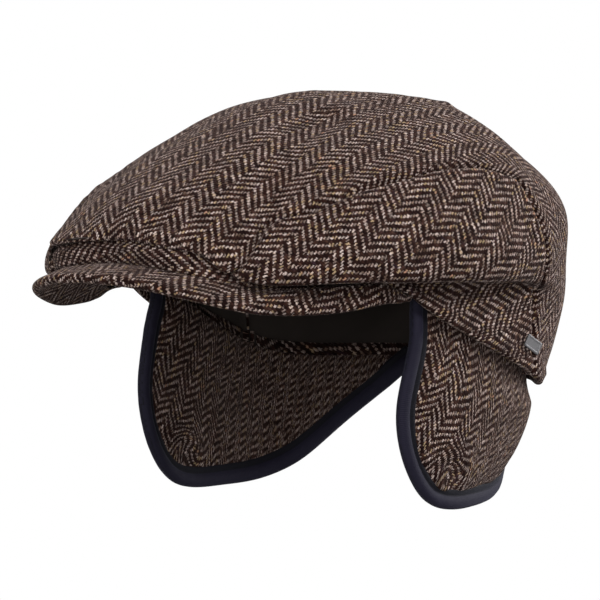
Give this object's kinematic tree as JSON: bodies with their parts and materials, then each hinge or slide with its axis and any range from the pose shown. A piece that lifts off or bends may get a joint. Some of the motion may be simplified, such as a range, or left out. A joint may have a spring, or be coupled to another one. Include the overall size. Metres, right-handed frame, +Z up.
{
  "type": "flat cap with earflaps",
  "caption": "Herringbone tweed flat cap with a short arched peak, overhanging side folds and bound earflaps hanging below the rim",
  "frame": {"origin": "middle of the head opening at the height of the rim above the ears, where the head carries the cap", "axes": "+Z up, the peak points along -Y, the wearer's left is +X"},
  "size_m": [0.2, 0.2549, 0.1703],
  "materials": {
    "tweed": "brown, grey and beige herringbone wool tweed, matt with a soft nap",
    "binding": "dark navy woven tape with a soft sheen",
    "plate": "plain brushed metal, bare"
  },
  "bodies": {
    "root": {"crown_top_panel": "tweed", "side_panel_left": "tweed", "side_panel_right": "tweed", "front_band": "tweed", "peak": "tweed", "earflap_left": "tweed", "earflap_right": "tweed", "flap_binding_left": "binding", "flap_binding_right": "binding", "badge_plate": "plate"}
  },
  "joints": []
}
